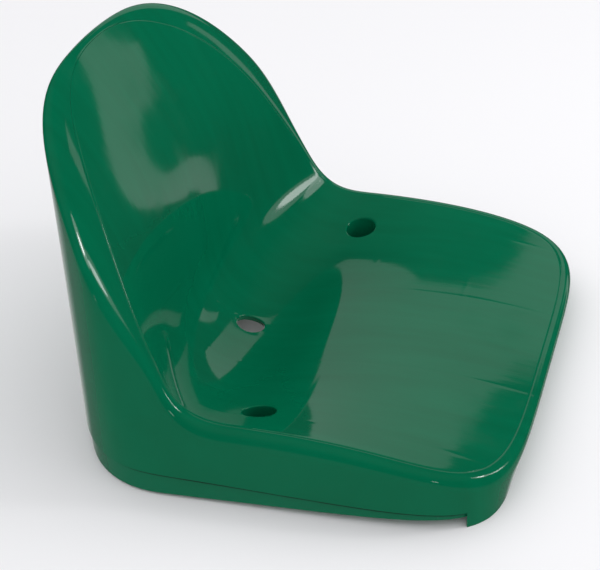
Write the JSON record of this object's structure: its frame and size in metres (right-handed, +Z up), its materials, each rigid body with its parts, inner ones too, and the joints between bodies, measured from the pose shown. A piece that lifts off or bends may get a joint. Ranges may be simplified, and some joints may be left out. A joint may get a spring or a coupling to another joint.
{
  "type": "stadium seat",
  "caption": "Low-back bucket seat of glossy green plastic on a wedge-shaped base frame, with sunk anchor pockets and a drain hole, for bolting to a terrace step or bench.",
  "frame": {"origin": "on the floor under the middle of the seat's bounding box, with the seat resting on its front lip and rear edge", "axes": "+Z up, -Y towards the front of the seat, +X across, to the right in the front view"},
  "size_m": [0.4372, 0.381, 0.2727],
  "materials": {
    "shell_plastic": "glossy green moulded polypropylene, smooth, with a soft sheen",
    "frame_plastic": "green moulded polypropylene, slightly less glossy than the shell",
    "bush_steel": "zinc-plated turned steel",
    "screw_steel": "zinc-plated steel screw"
  },
  "bodies": {
    "root": {"seat_shell": "shell_plastic", "base_frame": "frame_plastic", "anchor_bush_left": "bush_steel", "anchor_bush_right": "bush_steel", "screw_front_right": "screw_steel", "screw_front_left": "screw_steel", "screw_side_right": "screw_steel", "screw_side_left": "screw_steel", "screw_rear_right": "screw_steel", "screw_rear_left": "screw_steel"}
  },
  "joints": []
}
